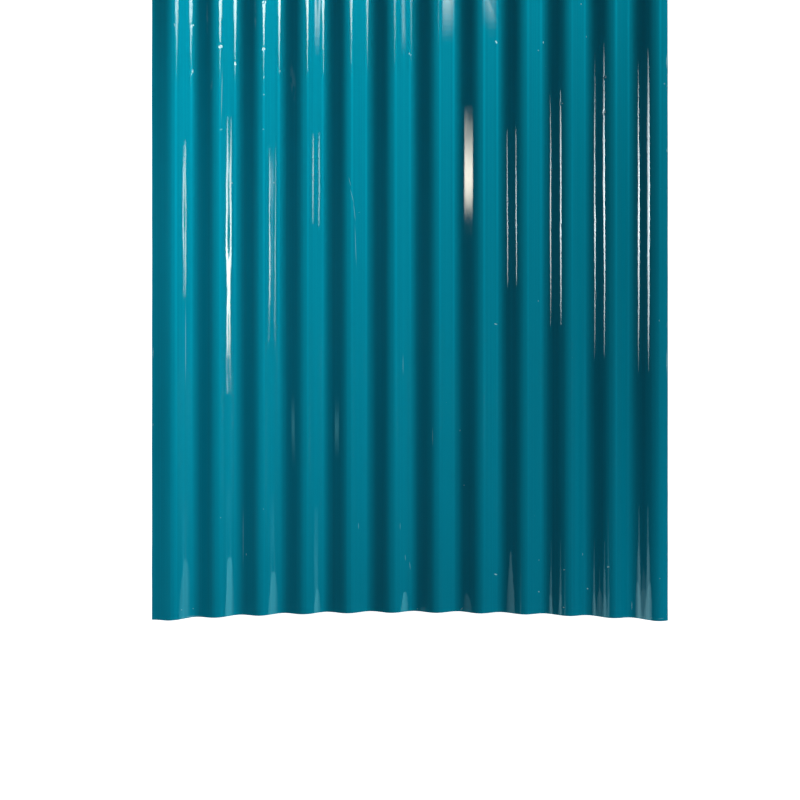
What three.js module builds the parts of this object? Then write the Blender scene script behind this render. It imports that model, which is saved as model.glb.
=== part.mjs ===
// A corrugated steel sheet, coated on both faces, lying flat with its coloured face up.
// It is one piece of thin sheet rolled into a sine wave. On the left it runs on past the
// outer crest into the bottom of the next valley, and on the right it stops half way down,
// so that neighbouring sheets can lap.
//
// Millimetres. X runs across the waves, Y along them and Z up. The origin is under the
// middle of the sheet, on the level that its valleys rest on.

import * as THREE from 'three';

// The wave
const PITCH = 76; // crest to crest
const DEPTH = 18; // valley to crest, measured on the same face
const CREST_COUNT = 12;

// The middle of an outer crest to the slit edge beside it
const LEFT_OVERHANG = 38;
const RIGHT_OVERHANG = 22;

// The stock
const SHEET_THICKNESS = 0.5;
const SHEET_LENGTH = 2000;

// The wave is drawn in straight facets, with a level one on every crest and valley.
const FACETS_PER_HALF_WAVE = 16;
const FACET_WIDTH = PITCH / (2 * FACETS_PER_HALF_WAVE);

const COVER_WIDTH = (CREST_COUNT - 1) * PITCH;
const SHEET_WIDTH = LEFT_OVERHANG + COVER_WIDTH + RIGHT_OVERHANG;
const LEFT_EDGE = -SHEET_WIDTH / 2;
const RIGHT_EDGE = SHEET_WIDTH / 2;
const FIRST_CREST = LEFT_EDGE + LEFT_OVERHANG;

// The level facets cut the tops off the sine wave. This amplitude leaves them at full depth,
// and the height is held to them, so that a slit edge in a valley stands no lower.
const AMPLITUDE = DEPTH / 2 / Math.cos(Math.PI / (2 * FACETS_PER_HALF_WAVE));

const coatedSteel = new THREE.MeshStandardMaterial({
  name: 'coated_steel',
  color: 0x0e8ca6,
  roughness: 0.28,
  metalness: 0.1,
});

function phaseAt(x) {
  return 2 * Math.PI * (x - FIRST_CREST) / PITCH;
}

function heightAt(x) {
  return THREE.MathUtils.clamp(AMPLITUDE * Math.cos(phaseAt(x)), -DEPTH / 2, DEPTH / 2);
}

function slopeAt(x) {
  return -AMPLITUDE * 2 * Math.PI / PITCH * Math.sin(phaseAt(x));
}

// The facet corners from one slit edge to the other. A facet straddles each crest and valley,
// and the outermost ones are cut off at the slit edges.
function stationsAcross() {
  const stations = [LEFT_EDGE];
  const firstFacet = Math.ceil((LEFT_EDGE - FIRST_CREST) / FACET_WIDTH - 0.25);
  for (let i = firstFacet; ; i += 1) {
    const x = FIRST_CREST + (i + 0.5) * FACET_WIDTH;
    if (x > RIGHT_EDGE - FACET_WIDTH / 4) {
      break;
    }
    stations.push(x);
  }
  stations.push(RIGHT_EDGE);
  return stations;
}

// One face of the sheet, half a thickness off the wave's middle line along its normal.
function faceLine(side) {
  return stationsAcross().map((x) => {
    const normal = new THREE.Vector2(-slopeAt(x), 1).normalize();
    const middle = new THREE.Vector2(x, heightAt(x));
    return middle.addScaledVector(normal, side * SHEET_THICKNESS / 2);
  });
}

function sheetSection() {
  const upperFace = faceLine(1);
  const lowerFace = faceLine(-1);
  return new THREE.Shape([...lowerFace, ...upperFace.reverse()]);
}

// The section is drawn upright, drawn out along the length and set down on its valleys.
function corrugatedSheet() {
  const geometry = new THREE.ExtrudeGeometry(sheetSection(), {
    depth: SHEET_LENGTH,
    bevelEnabled: false,
  });
  geometry.rotateX(Math.PI / 2);
  geometry.translate(0, SHEET_LENGTH / 2, 0);
  geometry.computeBoundingBox();

  const sheet = new THREE.Mesh(geometry, coatedSteel);
  sheet.name = 'corrugated_sheet';
  sheet.position.z = -geometry.boundingBox.min.z;
  return sheet;
}

const group = new THREE.Group();
group.add(corrugatedSheet());

export default group;
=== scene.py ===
"""A corrugated steel sheet with a glossy teal coil coating, lying on a pale floor.

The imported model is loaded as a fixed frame. The sheet's skin is modelled over the frame's
solid, from its own upper face, and gets its finishes here. Lengths are in metres, but for
the tables of marks and of lamps, which say what they are in.
"""

import math

import bpy
from mathutils import Matrix, Vector


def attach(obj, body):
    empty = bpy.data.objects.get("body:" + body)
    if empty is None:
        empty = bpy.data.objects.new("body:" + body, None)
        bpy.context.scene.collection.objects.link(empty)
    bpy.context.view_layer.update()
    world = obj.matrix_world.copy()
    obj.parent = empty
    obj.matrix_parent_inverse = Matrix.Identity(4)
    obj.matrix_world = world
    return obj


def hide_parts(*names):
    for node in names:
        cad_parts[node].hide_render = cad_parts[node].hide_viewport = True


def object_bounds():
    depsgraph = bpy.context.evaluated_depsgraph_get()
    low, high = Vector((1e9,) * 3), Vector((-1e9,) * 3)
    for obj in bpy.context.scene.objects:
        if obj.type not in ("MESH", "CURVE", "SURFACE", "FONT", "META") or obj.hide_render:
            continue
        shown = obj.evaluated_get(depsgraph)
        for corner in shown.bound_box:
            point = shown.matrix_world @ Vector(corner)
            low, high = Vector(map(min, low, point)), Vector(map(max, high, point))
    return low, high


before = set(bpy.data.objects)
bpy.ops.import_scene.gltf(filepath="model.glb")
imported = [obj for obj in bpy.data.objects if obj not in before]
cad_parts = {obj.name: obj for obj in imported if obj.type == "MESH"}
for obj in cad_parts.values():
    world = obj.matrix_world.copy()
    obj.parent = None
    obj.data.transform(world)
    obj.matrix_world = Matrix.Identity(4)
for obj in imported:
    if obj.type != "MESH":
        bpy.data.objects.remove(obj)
CAD_LOW, CAD_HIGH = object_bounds()

bl_info = {
    "name": "Corrugated metal sheet",
    "version": (1, 0, 0),
    "blender": (4, 5, 0),
    "location": "View3D > Sidebar > Sheet",
    "description": "Models and lights a coil-coated corrugated steel sheet",
    "category": "Object",
}

SHEET_NODE = "corrugated_sheet"

# The wave, as the solid has it
PITCH = 0.076
WAVE_DEPTH = 0.018
FIRST_CREST_X = -0.410

# What the camera looks straight down on, and the width that it takes in
VIEW_X = -0.0163
VIEW_Y = -0.6170
VIEW_WIDTH = 1.386
CAMERA_HEIGHT = 2.0
# The camera's sensor, in millimetres
SENSOR_WIDTH = 36.0

# How the skin is taken from the solid: how near each other its doubled corners are, the
# least Z of a normal that looks up, and the least length of an edge that runs lengthwise
DOUBLES_REACH = 0.00001
UPWARD_NORMAL = 0.5
LENGTHWISE_EDGE = 1.0
# The cells that the waves wander by: across, along and up
WANDER_CELL = (0.045, 0.16, 0.045)
# The cage that bows the sheet's end: its columns, and how much larger than the solid it is
CAGE_COLUMNS = 13
CAGE_SPARE = 1.02
# Facets that meet at less than this, in degrees, look smooth
SMOOTH_ANGLE = 40.0

# Marks on the coloured face, each told from the crest that it lies by. In millimetres but
# for the crest: crest, distance from it across the sheet, place along the sheet, half
# width, half length, and lean in degrees.
# Small dents, each with a pale spot of primer colour in its middle: a painted highlight of the
# dent
DENTS_WITH_HIGHLIGHTS = [
    (0, 34, 35, 1.6, 1.9, 20),
    (0, 33, -45, 1.3, 3.2, 0),
    (1, 8, -5, 2.2, 1.5, 35),
    (1, 31, -30, 1.5, 1.5, 0),
    (2, 6, 70, 2.1, 1.5, 35),
    (2, 6, -10, 2.0, 1.4, 40),
    (5, 30, -15, 1.3, 1.6, 0),
    (7, 29, 5, 3.2, 1.8, -60),
    (7, 28, -485, 3.0, 1.2, -12),
    (7, 28, -920, 3.2, 1.3, -20),
    (8, 35, 5, 1.0, 2.2, 0),
    (8, 27, -950, 1.2, 1.2, 0),
    (9, -10, -105, 1.3, 1.6, 0),
    (9, -7, -910, 1.6, 1.2, 0),
    (9, -8, -975, 1.7, 1.2, 0),
    (9, 36, -945, 1.6, 1.5, 0),
    (10, -12, -60, 1.0, 1.6, 0),
    (10, -12, -120, 1.4, 1.9, 10),
    (10, -7, -905, 2.3, 1.6, 30),
]
# Knocks bare some of the primer and leave no dent
KNOCKS = [
    (0, -36, -535, 0.9, 12.0, 0),
    (0, -36, -660, 1.0, 3.0, 0),
    (0, 5, 30, 1.5, 4.0, 15),
    (0, 33, -45, 2.0, 5.0, 0),
    (0, 16, -980, 1.2, 1.0, 0),
    (0, 34, -980, 1.4, 1.2, 0),
    (1, 9, -150, 3.2, 1.6, 30),
    (1, 8, -820, 1.3, 1.3, 0),
    (1, 26, -240, 1.8, 1.8, 0),
    (2, -25, -885, 1.2, 2.6, 0),
    (2, 7, -60, 1.1, 3.6, -8),
    (2, 7, -90, 1.2, 1.6, 0),
    (2, 6, -150, 2.0, 1.2, 0),
    (2, 6, -805, 1.1, 1.1, 0),
    (2, 23, -240, 1.6, 1.8, 0),
    (2, 33, -45, 1.6, 2.6, 0),
    (6, -32, -980, 1.4, 1.0, 0),
    (7, -34, -670, 1.2, 1.8, 0),
    (7, -27, -765, 1.0, 1.6, 0),
    (7, -31, -980, 1.0, 4.0, -40),
    (8, 26, -10, 1.6, 1.2, 0),
    (8, 26, -445, 1.2, 1.6, 0),
    (8, 27, -895, 1.0, 1.6, 0),
    (9, 24, 70, 1.2, 2.0, 0),
    (9, 34, 15, 1.0, 2.4, 0),
    (9, 27, -885, 1.1, 3.0, 0),
    (10, 37, -975, 0.9, 9.0, 0),
    (11, 5, -480, 1.2, 2.0, 0),
    (11, 6, -925, 1.0, 1.4, 0),
    (11, 15, -70, 1.3, 2.0, 0),
    (11, 20, -30, 1.8, 14.0, 0),
    (11, 21, -185, 2.2, 4.0, 20),
    (11, 20, -550, 1.2, 26.0, 0),
]
SCRATCHES = [
    (0, 22, -520, 0.5, 90.0, 0),
    (1, 10, -90, 0.6, 58.0, -1),
    (2, -31, -855, 0.5, 64.0, 0),
    (2, 20, -330, 0.4, 160.0, 0),
    (4, 3, -240, 0.5, 10.0, 14),
    (4, 7, -265, 0.5, 16.0, 14),
    (4, 11, -292, 0.5, 20.0, 6),
    (4, 13, -350, 0.5, 44.0, 2),
    (4, 18, -835, 0.7, 7.0, 0),
    (5, 14, -835, 0.6, 8.0, 0),
    (5, 19, -555, 0.5, 22.0, 0),
    (5, 23, -890, 0.6, 7.0, 4),
    (5, 31, -905, 0.6, 9.0, 6),
    (6, -6, -680, 0.5, 20.0, 0),
]
# Patches where the gloss is rubbed a little dull
SCUFFS = [
    (1, -16, 45, 3.0, 34.0, 0),
    (1, -8, -70, 3.0, 16.0, 0),
    (2, -8, 50, 3.0, 34.0, 0),
    (3, -20, -65, 7.0, 46.0, 6),
]

# What Finish.marks gives at the rim of a mark
RIM = 1.0
# Blender's noise runs from 0 to 1 about this
MEAN_NOISE = 0.5

# How far the rims of the painted dent highlights and of knocks are shaken, and by how many
# cells a metre
SHAKE_REACH = 0.0008
SHAKE_CELLS = 700.0
# How much of the primer colour shows in each kind of wear, and in each dent's painted highlight
SCUFF_WEAR = 0.12
SCRATCH_WEAR = 0.34
KNOCK_WEAR = 0.42
DENT_HIGHLIGHT_PALENESS = 0.85
DUST_WEAR = 0.5
TORN_WEAR = 0.8
RUBBED_WEAR = 0.2

# How much the topcoat's shade varies: in broad patches, in hairlines and in bands
TONE_CONTRAST = 0.08
HAIRLINE_CONTRAST = 0.34
BAND_CONTRAST = 0.22
# The topcoat's roughness where it is clean, and what is added to it
CLEAN_ROUGHNESS = 0.035
SMUDGE_ROUGHNESS = 0.03
UNEVEN_ROUGHNESS = 0.02
WORN_ROUGHNESS = 0.3
SCUFF_ROUGHNESS = 0.03
# Heights in the topcoat
BAND_HEIGHT = 0.00006
HAIRLINE_HEIGHT = 0.000003
RIPPLE_HEIGHT = 0.00001
DENT_DEPTH = 0.0002
# How many times as wide as its painted highlight a dent is
DENT_SPREAD = 3.2

# Painted highlights: pale lines at both edges of each bright flank. Their middles, half width
# and the half width of their full part are shares of the way from one crest to the next
HIGHLIGHT_LINES = (0.092, 0.408)
HIGHLIGHT_LINE_RIM = 0.036
HIGHLIGHT_LINE_CORE = 0.008
# They are faint at one place along the sheet and bright at the other
FAINT_LINES_Y = -1.0
BRIGHT_LINES_Y = 0.1
FAINT_LINES = 0.06
BRIGHT_LINES = 0.34

# Dust: cells a metre, the share of them without a speck, and a speck's least size and what
# may be added to it, as shares of a cell
DUST_CELLS = 46.0
CLEAN_CELLS = 0.90
SPECK_SIZE = 0.012
SPECK_SPREAD = 0.03

# Wear by the sheet's -Y end, by distance from it: where the paint starts to be torn and
# where it is all gone, and how ragged that is
TORN_START = 0.0002
TORN_END = -0.0006
TORN_RAGGEDNESS = 0.0022
# The rubbed line above it: its place, its drift, and the half width of all and of its core
RUB_PLACE = 0.0095
RUB_DRIFT = 0.006
RUB_RIM = 0.0016
RUB_CORE = 0.0004

# The backing coat's shade and roughness, and how much each of them varies
BACKING_SHADE = 0.82
BACKING_TONE = 0.22
BACKING_STREAKS = 0.16
BACKING_ROUGHNESS = 0.42
BACKING_ROUGHNESS_SPREAD = 0.16
# The bare edge's roughness, how much it varies, and the shade of its dull blooms
EDGE_ROUGHNESS = 0.35
EDGE_ROUGHNESS_SPREAD = 0.3
BLOOM_SHADE = 0.6


def metres(millimetres):
    """A length from one of the tables."""
    return millimetres / 1000


class Channel:
    """One output of a shader node. Its operators add Math nodes, so maths reads as maths."""

    def __init__(self, finish, socket):
        self.finish = finish
        self.socket = socket

    def maths(self, operation, *values):
        settings = {"operation": operation}
        return self.finish.node("ShaderNodeMath", settings, dict(enumerate(values)))

    def through(self, operation):
        """The channel put through an operation that takes one value."""
        return self.maths(operation, self)

    def also(self, name):
        """Another output of the same node."""
        return Channel(self.finish, self.socket.node.outputs[name])

    def __add__(self, other):
        return self.maths("ADD", self, other)

    def __radd__(self, other):
        return self.maths("ADD", other, self)

    def __sub__(self, other):
        return self.maths("SUBTRACT", self, other)

    def __rsub__(self, other):
        return self.maths("SUBTRACT", other, self)

    def __mul__(self, other):
        return self.maths("MULTIPLY", self, other)

    def __rmul__(self, other):
        return self.maths("MULTIPLY", other, self)

    def __truediv__(self, other):
        return self.maths("DIVIDE", self, other)

    def __rtruediv__(self, other):
        return self.maths("DIVIDE", other, self)

    def least(self, other):
        return self.maths("MINIMUM", self, other)

    def most(self, other):
        return self.maths("MAXIMUM", self, other)


class Finish:
    """A node-built material on one Principled shader.

    Its constants are sockets of the shader, named with an underscore for each space.
    """

    def __init__(self, name, **constants):
        self.material = bpy.data.materials.new(name)
        self.material.use_nodes = True
        self.tree = self.material.node_tree
        self.tree.nodes.clear()
        self.shader = self.tree.nodes.new("ShaderNodeBsdfPrincipled")
        self.output = self.tree.nodes.new("ShaderNodeOutputMaterial")
        self.tree.links.new(self.shader.outputs["BSDF"], self.output.inputs["Surface"])
        for socket, value in constants.items():
            self.shader.inputs[socket.replace("_", " ")].default_value = value
        self.place = self.node("ShaderNodeTexCoord").also("Object")

    def node(self, kind, settings=None, inputs=None):
        """Adds a node, makes its settings, fills its sockets and gives its first output."""
        made = self.tree.nodes.new(kind)
        for name, value in (settings or {}).items():
            setattr(made, name, value)
        for name, value in (inputs or {}).items():
            if isinstance(value, Channel):
                self.tree.links.new(value.socket, made.inputs[name])
            else:
                made.inputs[name].default_value = value
        in_use = [socket for socket in made.outputs if socket.enabled]
        return Channel(self, in_use[0])

    def feed(self, socket, channel):
        self.tree.links.new(channel.socket, self.shader.inputs[socket])

    def stretched(self, across, along, up):
        """The place on the sheet, stretched for a pattern that runs along or across it."""
        scale = (across, along, up)
        return self.node(
            "ShaderNodeVectorMath", {"operation": "MULTIPLY"}, {0: self.place, 1: scale}
        )

    def noise(self, across, along, detail=2.0, roughness=0.5):
        """Noise with so many cells a metre across the sheet and along it."""
        return self.node(
            "ShaderNodeTexNoise",
            {"noise_dimensions": "3D"},
            {
                "Vector": self.stretched(across, along, across),
                "Scale": 1.0,
                "Detail": detail,
                "Roughness": roughness,
            },
        )

    def ramp(self, value, low, high, to_low=0.0, to_high=1.0):
        """A smooth rise from to_low to to_high as value goes from low to high."""
        return self.node(
            "ShaderNodeMapRange",
            {"interpolation_type": "SMOOTHSTEP"},
            {0: value, 1: low, 2: high, 3: to_low, 4: to_high},
        )

    def shaded(self, colour, shade):
        """A colour made lighter or darker by a factor."""
        return self.node(
            "ShaderNodeVectorMath", {"operation": "SCALE"}, {0: tuple(colour), 3: shade}
        )

    def mix(self, factor, first, second):
        """A colour part way from first to second."""
        return self.node(
            "ShaderNodeMix", {"data_type": "RGBA"}, {0: factor, 6: first, 7: second}
        )

    def marks(self, place, table, grown=1.0):
        """Distance to the nearest mark of a table: 0 at its middle and RIM at its rim."""
        nearest = None
        for crest, across, along, half_width, half_length, lean in table:
            x = FIRST_CREST_X + PITCH * crest + metres(across)
            spot = self.node(
                "ShaderNodeMapping",
                {"vector_type": "TEXTURE"},
                {
                    "Vector": place,
                    "Location": (x, metres(along), 0.0),
                    "Rotation": (0.0, 0.0, math.radians(lean)),
                    "Scale": (metres(grown * half_width), metres(grown * half_length), 1.0),
                },
            )
            distance = self.node("ShaderNodeVectorMath", {"operation": "LENGTH"}, {0: spot})
            nearest = nearest.least(distance) if nearest else distance
        return nearest

    def bump(self, height, distance, strength=1.0):
        inputs = {"Height": height, "Distance": distance, "Strength": strength}
        return self.node("ShaderNodeBump", None, inputs)


def deselect_all():
    if bpy.context.object and bpy.context.object.mode != "OBJECT":
        bpy.ops.object.mode_set(mode="OBJECT")
    bpy.ops.object.select_all(action="DESELECT")


def take_up(piece):
    """Makes one object the active one and the only one selected."""
    deselect_all()
    piece.select_set(True)
    bpy.context.view_layer.objects.active = piece


def select_only(kind, piece, wanted):
    """Selects the faces or the edges of a piece in edit mode, by a test on each."""
    bpy.ops.mesh.select_mode(type=kind)
    bpy.ops.mesh.select_all(action="DESELECT")
    bpy.ops.object.mode_set(mode="OBJECT")
    members = piece.data.polygons if kind == "FACE" else piece.data.edges
    for member in members:
        member.select = wanted(member)
    bpy.ops.object.mode_set(mode="EDIT")


def opaque(colour):
    return (*colour, 1.0)


def shaken_place(coat):
    """The place on the sheet, shaken a little, so that marks on it get ragged rims."""
    shake = coat.node(
        "ShaderNodeTexNoise",
        {"noise_dimensions": "3D"},
        {"Vector": coat.place, "Scale": SHAKE_CELLS},
    ).also("Color")
    set_back = coat.node(
        "ShaderNodeVectorMath",
        {"operation": "SUBTRACT"},
        {0: coat.place, 1: (SHAKE_REACH, SHAKE_REACH, 0.0)},
    )
    return coat.node(
        "ShaderNodeVectorMath",
        {"operation": "MULTIPLY_ADD"},
        {0: shake, 1: (2 * SHAKE_REACH, 2 * SHAKE_REACH, 0.0), 2: set_back},
    )


def teal_topcoat(settings):
    """The glossy coil coating on the face that shows."""
    coat = Finish("teal_topcoat", IOR=1.5)
    axes = coat.node("ShaderNodeSeparateXYZ", None, {0: coat.place})
    across = ((axes - FIRST_CREST_X) / PITCH).through("FRACT")
    along = axes.also("Y")

    shaken = shaken_place(coat)
    # The pale spot in each dent's middle is a painted highlight, in the primer's colour
    dent_highlights = coat.marks(shaken, DENTS_WITH_HIGHLIGHTS)
    knocks = coat.marks(shaken, KNOCKS)
    scratches = coat.marks(coat.place, SCRATCHES)
    scuffs = coat.marks(coat.place, SCUFFS)
    dents = coat.marks(coat.place, DENTS_WITH_HIGHLIGHTS, grown=DENT_SPREAD)

    # The hairlines and the bands run along the sheet
    tone = coat.noise(3.0, 1.2, detail=3.0)
    hairlines = coat.noise(420.0, 0.9, detail=3.0, roughness=0.6)
    bands = coat.noise(150.0, 0.25, detail=2.0)
    # Pale lines along each bright flank's edges: painted highlights, added to the paint's shade
    highlight_lines = painted_highlight_lines(coat, across, along)
    shade = 1.0 + TONE_CONTRAST * tone + HAIRLINE_CONTRAST * (hairlines - MEAN_NOISE)
    shade = shade + BAND_CONTRAST * (bands - MEAN_NOISE) + highlight_lines
    paint = coat.shaded(settings.paint_colour, shade)
    primer = opaque(settings.primer_colour)
    patches = coat.ramp(coat.noise(160.0, 40.0), 0.35, 0.65)
    wear_and_highlights = SCUFF_WEAR * coat.ramp(scuffs, RIM, 0.2) * patches
    wear_and_highlights = wear_and_highlights.most(SCRATCH_WEAR * coat.ramp(scratches, RIM, 0.3))
    wear_and_highlights = wear_and_highlights.most(KNOCK_WEAR * coat.ramp(knocks, RIM, 0.3))
    # The dents' painted highlights
    wear_and_highlights = wear_and_highlights.most(DENT_HIGHLIGHT_PALENESS * coat.ramp(dent_highlights, RIM, 0.5))
    wear_and_highlights = wear_and_highlights.most(DUST_WEAR * dust(coat))
    wear_and_highlights = wear_and_highlights.most(cut_wear(coat, along))
    coat.feed("Base Color", coat.mix(wear_and_highlights, paint, primer))

    smudges = coat.ramp(coat.noise(9.0, 4.0, detail=4.0), 0.5, 0.75)
    uneven = coat.noise(60.0, 20.0)
    roughness = CLEAN_ROUGHNESS + SMUDGE_ROUGHNESS * smudges + UNEVEN_ROUGHNESS * uneven
    dulled = WORN_ROUGHNESS * wear_and_highlights
    roughness = roughness + dulled + SCUFF_ROUGHNESS * coat.ramp(scuffs, RIM, 0.0)
    coat.feed("Roughness", roughness)

    ripples = coat.noise(40.0, 9.0)
    height = BAND_HEIGHT * bands + HAIRLINE_HEIGHT * hairlines + RIPPLE_HEIGHT * ripples
    height = height + DENT_DEPTH * coat.ramp(dents, 0.0, RIM)
    coat.feed("Normal", coat.bump(height, distance=1.0))
    return coat.material


def painted_highlight_lines(coat, across, along):
    """Painted highlights: pale lines at both edges of each bright flank, which come and go
    along the sheet.
    """
    lines = None
    for middle in HIGHLIGHT_LINES:
        beside = (across - middle).through("ABSOLUTE")
        line = coat.ramp(beside, HIGHLIGHT_LINE_RIM, HIGHLIGHT_LINE_CORE)
        lines = lines.most(line) if lines else line
    strength = coat.ramp(along, FAINT_LINES_Y, BRIGHT_LINES_Y, FAINT_LINES, BRIGHT_LINES)
    breaks = coat.ramp(coat.noise(26.0, 2.2, detail=3.0), 0.3, 0.6, to_low=0.55)
    return lines * strength * breaks


def dust(coat):
    """Sparse specks of dust, as 1 in a speck and 0 beside it."""
    cells = coat.node(
        "ShaderNodeTexVoronoi", None, {"Vector": coat.place, "Scale": DUST_CELLS}
    )
    pick = coat.node("ShaderNodeSeparateColor", None, {0: cells.also("Color")})
    few = coat.ramp(pick, CLEAN_CELLS, CLEAN_CELLS + 0.01)
    size = SPECK_SIZE + SPECK_SPREAD * pick.also("Green")
    return few * coat.ramp(cells / size, 1.0, 0.6)


def cut_wear(coat, along):
    """The paint torn off along the sheared end, and a rubbed line a little above it.

    They show towards the corners, because the bow draws the end in between them.
    """
    end = CAD_LOW[1]
    ragged = coat.noise(260.0, 260.0, detail=3.0)
    torn = coat.ramp(along - TORN_RAGGEDNESS * ragged, end + TORN_START, end + TORN_END)
    drift = coat.noise(9.0, 2.0)
    line = (along - (end + RUB_PLACE) + RUB_DRIFT * drift).through("ABSOLUTE")
    broken = coat.ramp(coat.noise(70.0, 200.0, detail=3.0), 0.52, 0.62)
    rubbed = RUBBED_WEAR * broken * coat.ramp(line, RUB_RIM, RUB_CORE)
    return (TORN_WEAR * torn).most(rubbed)


def backing_coat(settings):
    """The thin matt lacquer on the underside."""
    coat = Finish("backing_coat", IOR=1.45)
    tone = coat.noise(6.0, 2.0, detail=4.0)
    streaks = coat.noise(260.0, 1.1, detail=3.0)
    shade = BACKING_SHADE + BACKING_TONE * tone + BACKING_STREAKS * (streaks - MEAN_NOISE)
    coat.feed("Base Color", coat.shaded(settings.backing_colour, shade))
    coat.feed("Roughness", BACKING_ROUGHNESS + BACKING_ROUGHNESS_SPREAD * streaks)
    coat.feed("Normal", coat.bump(streaks, distance=0.00005, strength=0.5))
    return coat.material


def bare_edge(settings):
    """Zinc-coated steel, laid bare where the sheet was sheared and slit."""
    metal = Finish("bare_edge", Metallic=1.0)
    shear_lines = metal.noise(1500.0, 1500.0, detail=4.0, roughness=0.7)
    bloom = metal.ramp(metal.noise(60.0, 60.0, detail=3.0), 0.45, 0.65)
    zinc = opaque(settings.zinc_colour)
    dull = opaque(BLOOM_SHADE * part for part in settings.zinc_colour)
    metal.feed("Base Color", metal.mix(bloom, zinc, dull))
    metal.feed("Roughness", EDGE_ROUGHNESS + EDGE_ROUGHNESS_SPREAD * shear_lines)
    metal.feed("Normal", metal.bump(shear_lines, distance=0.00008, strength=0.6))
    return metal.material


class SheetSettings(bpy.types.PropertyGroup):
    """The sheet's skin and its finishes."""

    steel_thickness: bpy.props.FloatProperty(
        name="Steel thickness",
        description="Thickness of the sheet with its coatings",
        default=0.0005,
        min=0.0003,
        max=0.001,
        precision=5,
        unit="LENGTH",
    )
    cuts_along: bpy.props.IntProperty(
        name="Cuts along",
        description="Rows of vertices along the waves",
        default=110,
        min=2,
        max=118,
    )
    unevenness: bpy.props.FloatProperty(
        name="Unevenness",
        description="How far the waves wander from side to side, in all",
        default=0.0012,
        min=0.0,
        max=0.005,
        precision=4,
        unit="LENGTH",
    )
    bow: bpy.props.FloatProperty(
        name="Bow",
        description="How far the middle of the -Y end is drawn in",
        default=0.016,
        min=0.0,
        max=0.03,
        precision=4,
        unit="LENGTH",
    )
    paint_colour: bpy.props.FloatVectorProperty(
        name="Coating",
        description="Colour of the glossy coating on the upper face",
        default=(0.0, 0.215, 0.316),
        size=3,
        min=0.0,
        max=1.0,
        subtype="COLOR",
    )
    primer_colour: bpy.props.FloatVectorProperty(
        name="Primer",
        description="Colour of the primer where the coating is chipped or scratched",
        default=(0.42, 0.74, 0.76),
        size=3,
        min=0.0,
        max=1.0,
        subtype="COLOR",
    )
    backing_colour: bpy.props.FloatVectorProperty(
        name="Backing coat",
        description="Colour of the matt coat on the underside",
        default=(0.105, 0.21, 0.155),
        size=3,
        min=0.0,
        max=1.0,
        subtype="COLOR",
    )
    zinc_colour: bpy.props.FloatVectorProperty(
        name="Bare edge",
        description="Colour of the bare steel on the cut edges",
        default=(0.62, 0.64, 0.66),
        size=3,
        min=0.0,
        max=1.0,
        subtype="COLOR",
    )


class StageSettings(bpy.types.PropertyGroup):
    """The floor, the lights and the camera."""

    camera_height: bpy.props.FloatProperty(
        name="Camera height",
        description="Height over the middle of the wave. The lamps hang for the default",
        default=CAMERA_HEIGHT,
        min=0.5,
        max=10.0,
        unit="LENGTH",
    )
    floor_colour: bpy.props.FloatVectorProperty(
        name="Floor",
        description="Colour of the pale floor",
        default=(0.9, 0.9, 0.9),
        size=3,
        min=0.0,
        max=1.0,
        subtype="COLOR",
    )


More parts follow.
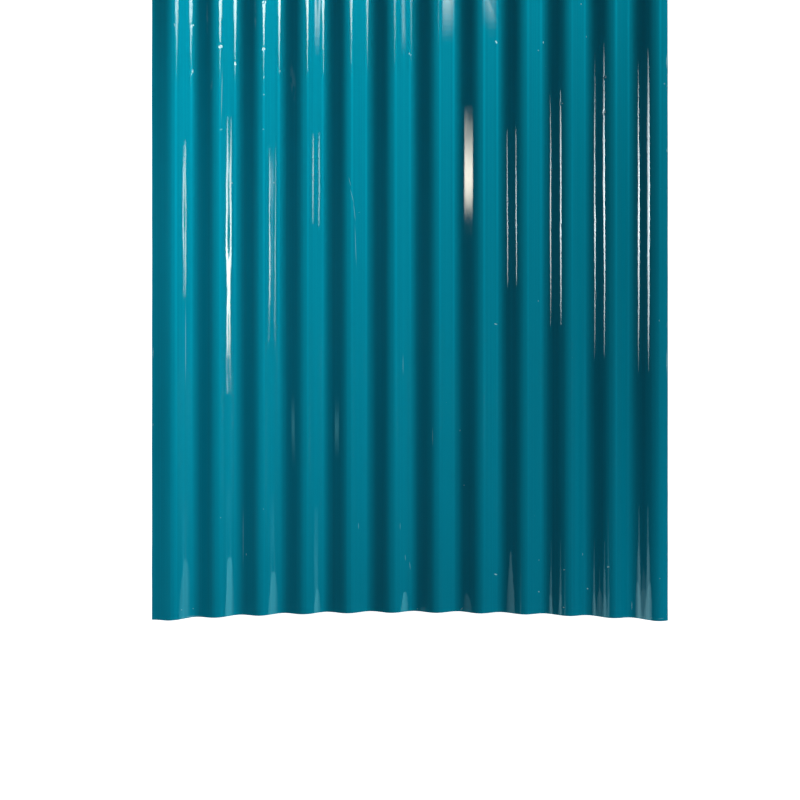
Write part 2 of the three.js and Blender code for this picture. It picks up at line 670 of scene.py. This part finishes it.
class SHEET_OT_corrugated_sheet(bpy.types.Operator):
    """Model the sheet's skin over the solid and give it its three finishes"""

    bl_idname = "sheet.corrugated_sheet"
    bl_label = "Corrugated sheet"
    bl_options = {"REGISTER", "UNDO"}

    def execute(self, context):
        settings = context.scene.sheet_settings
        skin = self.upper_face(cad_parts[SHEET_NODE])
        self.divide_lengthwise(skin, settings.cuts_along)
        self.make_uneven(skin, settings.unevenness)
        self.bow_end(skin, settings.bow)
        self.give_thickness(skin, settings)
        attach(skin, "root")
        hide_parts(SHEET_NODE)
        return {"FINISHED"}

    def upper_face(self, solid):
        """A copy of the solid with only the faces that look up, each facet as one strip."""
        skin = bpy.data.objects.new("sheet_skin", solid.data.copy())
        bpy.context.scene.collection.objects.link(skin)
        skin.data.materials.clear()
        take_up(skin)
        bpy.ops.object.mode_set(mode="EDIT")
        bpy.ops.mesh.select_all(action="SELECT")
        bpy.ops.mesh.remove_doubles(threshold=DOUBLES_REACH)
        select_only("FACE", skin, lambda face: face.normal.z < UPWARD_NORMAL)
        bpy.ops.mesh.delete(type="FACE")
        bpy.ops.mesh.select_all(action="SELECT")
        bpy.ops.mesh.tris_convert_to_quads()
        bpy.ops.object.mode_set(mode="OBJECT")
        if any(len(face.vertices) != 4 for face in skin.data.polygons):
            raise RuntimeError("the upper face did not come out in strips")
        return skin

    def divide_lengthwise(self, skin, cuts):
        """Cuts every strip across, so that the skin can bend and wander along its length."""
        def runs_along(edge):
            start, end = (skin.data.vertices[i].co for i in edge.vertices)
            return abs(start.y - end.y) > LENGTHWISE_EDGE

        bpy.ops.object.mode_set(mode="EDIT")
        select_only("EDGE", skin, runs_along)
        bpy.ops.mesh.subdivide(number_cuts=cuts)
        bpy.ops.object.mode_set(mode="OBJECT")

    def make_uneven(self, skin, depth):
        """Lets the waves wander a little from side to side, as rolled steel does."""
        clouds = bpy.data.textures.new("rolled_unevenness", "CLOUDS")
        clouds.noise_scale = 1.0
        cell = bpy.data.objects.new("unevenness_cell", None)
        cell.scale = WANDER_CELL
        bpy.context.scene.collection.objects.link(cell)
        wander = skin.modifiers.new("wander", "DISPLACE")
        wander.texture = clouds
        wander.texture_coords = "OBJECT"
        wander.texture_coords_object = cell
        wander.direction = "X"
        wander.strength = depth
        take_up(skin)
        bpy.ops.object.modifier_apply(modifier=wander.name)
        bpy.data.objects.remove(cell)

    def bow_end(self, skin, bow):
        """Draws the middle of the -Y end in, by a cage, and lets its corners stay."""
        bpy.ops.object.add(type="LATTICE")
        cage = bpy.context.object
        cage.scale = [CAGE_SPARE * (high - low) for low, high in zip(CAD_LOW, CAD_HIGH)]
        cage.location = (Vector(CAD_LOW) + Vector(CAD_HIGH)) / 2
        cage.data.points_u = CAGE_COLUMNS
        cage.data.points_v = 2
        cage.data.interpolation_type_u = "KEY_CARDINAL"
        cage.data.interpolation_type_v = "KEY_LINEAR"
        for point in cage.data.points:
            if point.co.y < 0:
                rise = 1 - (2 * point.co.x) ** 2
                point.co_deform.y += rise * bow / cage.scale.y
        bowed = skin.modifiers.new("bowed_end", "LATTICE")
        bowed.object = cage
        take_up(skin)
        bpy.ops.object.modifier_apply(modifier=bowed.name)
        bpy.data.objects.remove(cage)

    def give_thickness(self, skin, settings):
        """Gives the skin its wall, downwards, with a finish for each face and the rim."""
        for finish in (teal_topcoat, backing_coat, bare_edge):
            skin.data.materials.append(finish(settings))
        wall = skin.modifiers.new("wall", "SOLIDIFY")
        wall.thickness = settings.steel_thickness
        wall.offset = -1.0
        wall.use_even_offset = True
        wall.material_offset = 1
        wall.material_offset_rim = 2
        take_up(skin)
        bpy.ops.object.modifier_apply(modifier=wall.name)
        bpy.ops.object.shade_smooth_by_angle(angle=math.radians(SMOOTH_ANGLE))


# The floor: its width, its height just under the sheet, its grain and its own glow
FLOOR_SIZE = 60.0
FLOOR_Z = -0.0002
FLOOR_GRAIN = 0.02
FLOOR_GLOW = 0.8
# The room looks white to the camera and is dim to all else
WHITE_ROOM = (1.0, 1.0, 1.0, 1.0)
DIM_ROOM = (0.5, 0.9, 1.0, 1.0)
DIM_STRENGTH = 0.05

# The lamps' tints
WARM = (1.0, 1.0, 0.94)
COOL = (0.97, 0.98, 1.0)
PALE = (1.0, 0.97, 0.84)
WHITE = (0.88, 0.98, 1.0)
CREAM = (1.0, 0.91, 0.76)
BLUE = (0.3, 0.95, 1.0)
GREY_BLUE = (0.45, 0.9, 1.0)

# Soft lights: name, place, point aimed at, width and height, spread in degrees, watts, tint.
# They light the sheet's colour and are not mirrored in it.
SOFT_LIGHTS = [
    ("key_low", (2.6, 2.6, 1.9), (-0.5, 0.2, 0.0), 1.2, 28, 7.9, WARM),
    ("key_high", (2.2, 3.0, 2.0), (-0.45, 0.2, 0.0), 1.0, 36, 5.9, WARM),
    ("key_front", (2.2, -0.8, 2.0), (-0.42, -0.85, 0.0), 1.0, 24, 1.3, COOL),
    ("fill_left_low", (-0.7, -1.0, 0.35), (-0.3, -0.6, 0.0), 0.4, 180, 0.8, COOL),
    ("fill_left", (-0.8, -0.3, 0.35), (-0.3, -0.2, 0.0), 0.4, 180, 1.1, COOL),
    ("fill_right", (0.8, -1.2, 0.5), (0.48, -0.4, 0.0), 0.4, 180, 2.0, COOL),
]

# The other lamps are only mirrored in the gloss, as streaks.
# Far strip lamps side by side, in degrees and metres. Each one shows from the same top to a
# bottom of its own.
STRIP_FIRST_TILT = 24.0
STRIP_TILT_STEP = 5.0
STRIP_BREADTH = 4.6
STRIP_CONE = 5.6
STRIP_DISTANCE = 2.2
STRIP_RADIANCE = 30.0
STRIP_X = -0.250
STRIP_TOP = 0.250
STRIP_BOTTOMS = (0.060, 0.020, -0.045, -0.005, 0.050)

# Near lamps, each over the flank that mirrors it: metres and degrees
WEDGE_DISTANCE = 0.05
WEDGE_CONE = 24.0
PAIR_DISTANCE = 0.12
PAIR_CONE = 9.0
GLINT_CONE = 26.0
# How much broader than its wedge at the end a wedge's lamp is
WEDGE_OVERLAP = 1.4
# How lamps in layers differ: the share of a filled streak's width that goes by the last
# layer, and the gap between two layers
FADE_NARROWING = 0.35
LAYER_GAP = 0.0002
# A spindle's lamp is longer than the part of it that shows
SPINDLE_SPARE = 1.2
# Light kept within a narrow cone of c radians is 3 / c ** 2 times as bright in its middle
# as the same light spread all round
CONE_GAIN = 3.0

# Name, crest, side of it, half width, top, bottom and fade at each end in millimetres, how
# many layers fade it, lamp's distance in millimetres, cone in degrees, radiance and tint
FILLED_STREAKS = [
    ("haze_3", 3, 1, 6.0, 300, -20, 120, 8, 20, 60, 11, PALE),
    ("haze_6", 6, 1, 14.5, 300, 6, 145, 16, 36, 45, 15, PALE),
    ("haze_7", 7, 1, 13.0, 300, 10, 145, 10, 20, 28, 3.8, PALE),
]
# Name, crest, side of it, half width, middle, reach up and down, and lamp's distance in
# millimetres, radiance in the middle, and tint
SPINDLES = [
    ("lozenge", 7, -1, 7.8, -221, 92, 55, 22, CREAM),
    ("gleam_2", 2, 1, 3.0, -240, 50, 55, 2.6, PALE),
    ("gleam_3", 3, -1, 3.5, -665, 60, 55, 1.4, BLUE),
    ("gleam_4", 4, -1, 3.5, -667, 55, 55, 1.6, BLUE),
]
# Name, crest, side of it, near, far, top and bottom in millimetres, radiance and tint
PAIRED_STREAKS = [
    ("line_0", 0, 1, 0.0, 2.6, -170, -440, 15, PALE),
    ("pair_1", 1, 1, 1.0, 3.8, -130, -610, 30, PALE),
    ("pair_2", 2, 1, 4.2, 5.2, -175, -530, 18, PALE),
    ("pair_3", 3, 1, 4.4, 5.8, -155, -315, 14, PALE),
    ("pair_8", 8, -1, 6.5, 8.0, -150, -420, 22, WHITE),
    ("pair_9", 9, -1, 7.2, 9.2, -85, -490, 36, WHITE),
    ("pair_10", 10, -1, 5.8, 8.6, -10, -550, 36, WHITE),
    ("pair_11", 11, -1, 6.0, 9.4, -20, -570, 36, WHITE),
    ("trail_0", 0, 1, 0.0, 3.0, -780, -1000, 1.2, BLUE),
    ("trail_1", 1, 1, 0.0, 3.0, -760, -1000, 1.2, BLUE),
    ("trail_2", 2, 1, 0.0, 3.0, -780, -1000, 1.2, BLUE),
    ("trail_3", 3, 1, 0.0, 3.0, -800, -1000, 1.2, BLUE),
]
# Crest, near and far at the sheet's end, and apex in millimetres, and radiance
GLINTS = [
    (9, 4.0, 11.0, -860, 3.0),
    (10, 4.0, 12.0, -860, 3.4),
    (11, 0.5, 13.0, -800, 4.8),
]
# A glint's steps from the tallest to the broadest: each one's share of its radiance
GLINT_SHARES = (0.3, 0.3, 0.4)
# Crest, side of it, half width at the sheet's end and apex in millimetres, radiance, tint
WEDGES = [
    (0, 1, 11.0, -890, 2.0, BLUE),
    (1, 1, 7.0, -890, 2.8, BLUE),
    (2, 1, 8.5, -915, 2.6, BLUE),
    (3, 1, 5.5, -945, 2.2, BLUE),
    (5, 1, 7.5, -950, 2.8, BLUE),
    (6, -1, 8.0, -975, 0.6, GREY_BLUE),
    (7, -1, 9.0, -950, 0.7, GREY_BLUE),
    (8, -1, 6.0, -880, 1.5, GREY_BLUE),
]
# The sheet's -Y end in the tables' millimetres
SHEET_END = 1000 * CAD_LOW[1]


def flank_x(crest, side):
    """Where the wave is steepest, on the +X side (1) or the -X side (-1) of a crest."""
    return FIRST_CREST_X + PITCH * (crest + side / 4)


def mirrored_tilt(crest, side, beside):
    """Tilt towards +X, in radians, of what the camera sees mirrored in a flank.

    beside is the distance from the flank's steepest line. The wave turns the camera's ray
    by twice its own slope.
    """
    slope = math.pi * WAVE_DEPTH / PITCH * math.cos(2 * math.pi * beside / PITCH)
    ray = math.atan((flank_x(crest, side) - VIEW_X) / CAMERA_HEIGHT)
    return side * 2 * math.atan(slope) + ray


class STAGE_OT_pale_studio(bpy.types.Operator):
    """Lay the floor, hang the lights and set the camera over the sheet"""

    bl_idname = "stage.pale_studio"
    bl_label = "Pale studio"
    bl_options = {"REGISTER", "UNDO"}

    def execute(self, context):
        settings = context.scene.stage_settings
        self.floor(settings)
        self.world(context.scene)
        self.lights()
        self.camera(context.scene, settings)
        context.scene.view_settings.view_transform = "Standard"
        return {"FINISHED"}

    def floor(self, settings):
        """The pale floor, which is clear from below."""
        deselect_all()
        bpy.ops.mesh.primitive_grid_add(size=FLOOR_SIZE, location=(0.0, 0.0, FLOOR_Z))
        floor = bpy.context.object
        floor.name = "floor"
        paper = Finish("floor_paper", Roughness=0.9, Specular_IOR_Level=0.0)
        grain = paper.noise(2.0, 2.0, detail=2.0)
        shade = 1 - FLOOR_GRAIN + FLOOR_GRAIN * grain
        paper.feed("Base Color", paper.shaded(settings.floor_colour, shade))
        paper.shader.inputs["Emission Color"].default_value = WHITE_ROOM
        paper.shader.inputs["Emission Strength"].default_value = FLOOR_GLOW
        clear = paper.node("ShaderNodeBsdfTransparent")
        under = paper.node("ShaderNodeNewGeometry").also("Backfacing")
        shown = Channel(paper, paper.shader.outputs["BSDF"])
        surface = paper.node("ShaderNodeMixShader", None, {0: under, 1: shown, 2: clear})
        paper.tree.links.new(surface.socket, paper.output.inputs["Surface"])
        floor.data.materials.append(paper.material)

    def world(self, scene):
        """The room around the floor."""
        scene.world = scene.world or bpy.data.worlds.new("room")
        scene.world.use_nodes = True
        tree = scene.world.node_tree
        tree.nodes.clear()
        rays = tree.nodes.new("ShaderNodeLightPath")
        seen = tree.nodes.new("ShaderNodeBackground")
        seen.inputs["Color"].default_value = WHITE_ROOM
        seen.inputs["Strength"].default_value = 1.0
        dim = tree.nodes.new("ShaderNodeBackground")
        dim.inputs["Color"].default_value = DIM_ROOM
        dim.inputs["Strength"].default_value = DIM_STRENGTH
        either = tree.nodes.new("ShaderNodeMixShader")
        output = tree.nodes.new("ShaderNodeOutputWorld")
        tree.links.new(rays.outputs["Is Camera Ray"], either.inputs[0])
        tree.links.new(dim.outputs[0], either.inputs[1])
        tree.links.new(seen.outputs[0], either.inputs[2])
        tree.links.new(either.outputs[0], output.inputs["Surface"])

    def lights(self):
        for name, place, aim, side, spread, watts, tint in SOFT_LIGHTS:
            lamp = self.lamp(name, Vector(place), Vector(aim), side, side, spread)
            lamp.data.energy = watts
            lamp.data.color = tint
            lamp.visible_glossy = False
        for number, bottom in enumerate(STRIP_BOTTOMS):
            self.strip(number, bottom)
        for streak in FILLED_STREAKS:
            self.filled_streak(*streak)
        for spindle in SPINDLES:
            self.spindle(*spindle)
        for pair in PAIRED_STREAKS:
            self.paired_streak(*pair)
        for glint in GLINTS:
            self.glint(*glint)
        for wedge in WEDGES:
            self.wedge(*wedge)

    def strip(self, number, bottom):
        """One of the far strip lamps, which every bright flank mirrors at both its edges."""
        tilt = math.radians(STRIP_FIRST_TILT + STRIP_TILT_STEP * number)
        middle = (STRIP_TOP + bottom) / 2
        self.mirrored_lamp(
            "RECTANGLE", "strip_%d" % number, STRIP_X, middle, STRIP_TOP - bottom, tilt,
            STRIP_DISTANCE, math.radians(STRIP_BREADTH), STRIP_CONE, STRIP_RADIANCE, PALE,
        )

    def filled_streak(
        self, name, crest, side, half_width, top, bottom, fade, layers, distance, cone,
        radiance, tint
    ):
        """A streak about a flank's steepest line, given in millimetres.

        Its ends fade because it is made of layers whose light adds up. Each next one is
        shorter and narrower, and hangs a little nearer the sheet. The middle layers are
        the brightest, so that the fade starts and ends slowly, and the six makes all of
        them together as bright as the streak.
        """
        steepest = mirrored_tilt(crest, side, 0.0)
        for layer in range(layers):
            share = (layer + 0.5) / layers
            part = 6 * share * (1 - share) / layers
            beside = metres(half_width) * (1 - FADE_NARROWING * share)
            breadth = 2 * abs(steepest - mirrored_tilt(crest, side, beside))
            high = metres(top - fade * share)
            low = metres(bottom + fade * share)
            self.mirrored_lamp(
                "RECTANGLE", "%s_%d" % (name, layer), flank_x(crest, side), (high + low) / 2,
                high - low, steepest, metres(distance) - LAYER_GAP * layer, breadth, cone,
                radiance * part, tint,
            )

    def spindle(
        self, name, crest, side, half_width, middle, reach, distance, radiance, tint
    ):
        """A streak about a flank's steepest line, brightest in its middle, in millimetres.

        Its lamp's beam is so narrow that the camera leaves it at reach from the middle.
        Further beams, turned by one beam's angle each, fill the streak to its half width.
        """
        cone = math.atan(metres(reach) / CAMERA_HEIGHT)
        steepest = mirrored_tilt(crest, side, 0.0)
        turned = abs(steepest - mirrored_tilt(crest, side, metres(half_width)))
        for beam in range(1 + round(turned / cone)):
            self.mirrored_lamp(
                "RECTANGLE", "%s_%d" % (name, beam), flank_x(crest, side), metres(middle),
                metres(2 * SPINDLE_SPARE * reach), steepest - side * cone * beam,
                metres(distance), 2 * math.atan(half_width / distance), math.degrees(cone),
                radiance, tint,
            )

    def paired_streak(
        self, name, crest, side, near, far, top, bottom, radiance, tint,
        distance=PAIR_DISTANCE, cone=PAIR_CONE
    ):
        """Two lines, from near to far on either side of a flank's steepest line."""
        inner = mirrored_tilt(crest, side, metres(near))
        outer = mirrored_tilt(crest, side, metres(far))
        self.mirrored_lamp(
            "ELLIPSE", name, flank_x(crest, side), metres((top + bottom) / 2),
            metres(top - bottom), (inner + outer) / 2, distance, abs(inner - outer), cone,
            radiance, tint,
        )

    def glint(self, crest, near, far, apex, radiance):
        """A pair of thin spikes up from the sheet's end, on the -X side of a crest.

        They are stepped: the shorter the lamp, the broader its two lines, and their light
        adds up.
        """
        middle = (near + far) / 2
        steps = len(GLINT_SHARES)
        for step, part in enumerate(GLINT_SHARES):
            share = (step + 1) / steps
            reach = (apex - SHEET_END) * (1 - step / steps)
            self.paired_streak(
                "glint_%d_%d" % (crest, step), crest, -1, middle - share * (middle - near),
                middle + share * (far - middle), SHEET_END + reach, SHEET_END - reach,
                radiance * part, GREY_BLUE, PAIR_DISTANCE - LAYER_GAP * step, GLINT_CONE,
            )

    def wedge(self, crest, side, half_width, apex, radiance, tint):
        """A streak that widens from its apex down to the sheet's end.

        The lamp's inner long side is what the flank's steepest line mirrors at the apex,
        and what the flank mirrors half_width beside that line at the end.
        """
        steepest = mirrored_tilt(crest, side, 0.0)
        outer = mirrored_tilt(crest, side, metres(half_width))
        rise = metres(apex) - CAD_LOW[1]
        slant = WEDGE_DISTANCE * math.tan(abs(steepest - outer))
        lean = math.atan2(slant, rise)
        width = WEDGE_OVERLAP * slant * math.cos(lean)
        tilt = (steepest + outer) / 2 + side * width / 2 * math.cos(lean) / WEDGE_DISTANCE
        middle = CAD_LOW[1] + rise / 2 - width / 2 * math.sin(lean)
        self.mirrored_lamp(
            "RECTANGLE", "wedge_%d" % crest, flank_x(crest, side), middle,
            math.hypot(slant, rise), tilt, WEDGE_DISTANCE,
            2 * math.atan(width / 2 / WEDGE_DISTANCE), WEDGE_CONE, radiance, tint,
            lean=-side * lean,
        )

    def lamp(self, name, place, aim, width, height, spread):
        """An area light whose height runs along the sheet's waves."""
        data = bpy.data.lights.new(name, "AREA")
        data.shape = "RECTANGLE"
        data.size = width
        data.size_y = height
        data.spread = math.radians(spread)
        lamp = bpy.data.objects.new(name, data)
        lamp.location = place
        back = (place - aim).normalized()
        side = Vector((0.0, 1.0, 0.0)).cross(back).normalized()
        turn = Matrix((side, back.cross(side), back)).transposed()
        lamp.rotation_euler = turn.to_euler()
        lamp.visible_camera = False
        bpy.context.scene.collection.objects.link(lamp)
        return lamp

    def mirrored_lamp(
        self, shape, name, x, y, length, tilt, distance, breadth, cone, radiance, tint, lean=0.0
    ):
        """A lamp that the camera sees mirrored in the gloss at (x, y)."""
        aim = Vector((x, y, WAVE_DEPTH / 2))
        reach = 1 + distance / CAMERA_HEIGHT
        place = Vector((
            aim.x + distance * math.sin(tilt),
            VIEW_Y + (aim.y - VIEW_Y) * reach,
            aim.z + distance * math.cos(tilt),
        ))
        width = 2 * distance * math.tan(breadth / 2)
        height = length * reach
        lamp = self.lamp(name, place, aim, width, height, 2 * cone)
        area = width * height
        if shape == "ELLIPSE":
            lamp.data.shape = shape
            area *= math.pi / 4
        lamp.rotation_euler.rotate_axis("Z", lean)
        lamp.data.color = tint
        lamp.data.energy = radiance * area * math.pi * math.radians(cone) ** 2 / CONE_GAIN
        lamp.visible_diffuse = False

    def camera(self, scene, settings):
        data = bpy.data.cameras.new("camera")
        data.sensor_width = SENSOR_WIDTH
        data.lens = SENSOR_WIDTH * settings.camera_height / VIEW_WIDTH
        camera = bpy.data.objects.new("camera", data)
        camera.location = (VIEW_X, VIEW_Y, WAVE_DEPTH / 2 + settings.camera_height)
        scene.collection.objects.link(camera)
        scene.camera = camera


class VIEW3D_PT_sheet(bpy.types.Panel):
    """The sheet's operators and settings"""

    bl_idname = "VIEW3D_PT_sheet"
    bl_label = "Corrugated sheet"
    bl_space_type = "VIEW_3D"
    bl_region_type = "UI"
    bl_category = "Sheet"

    def draw(self, context):
        layout = self.layout
        layout.operator(SHEET_OT_corrugated_sheet.bl_idname)
        for name in SheetSettings.__annotations__:
            layout.prop(context.scene.sheet_settings, name)
        layout.operator(STAGE_OT_pale_studio.bl_idname)
        for name in StageSettings.__annotations__:
            layout.prop(context.scene.stage_settings, name)


CLASSES = (
    SheetSettings,
    StageSettings,
    SHEET_OT_corrugated_sheet,
    STAGE_OT_pale_studio,
    VIEW3D_PT_sheet,
)


def register():
    for cls in CLASSES:
        bpy.utils.register_class(cls)
    bpy.types.Scene.sheet_settings = bpy.props.PointerProperty(type=SheetSettings)
    bpy.types.Scene.stage_settings = bpy.props.PointerProperty(type=StageSettings)


def unregister():
    del bpy.types.Scene.stage_settings
    del bpy.types.Scene.sheet_settings
    for cls in reversed(CLASSES):
        bpy.utils.unregister_class(cls)


def main():
    register()
    bpy.ops.sheet.corrugated_sheet()
    bpy.ops.stage.pale_studio()


if __name__ == "__main__":
    main()
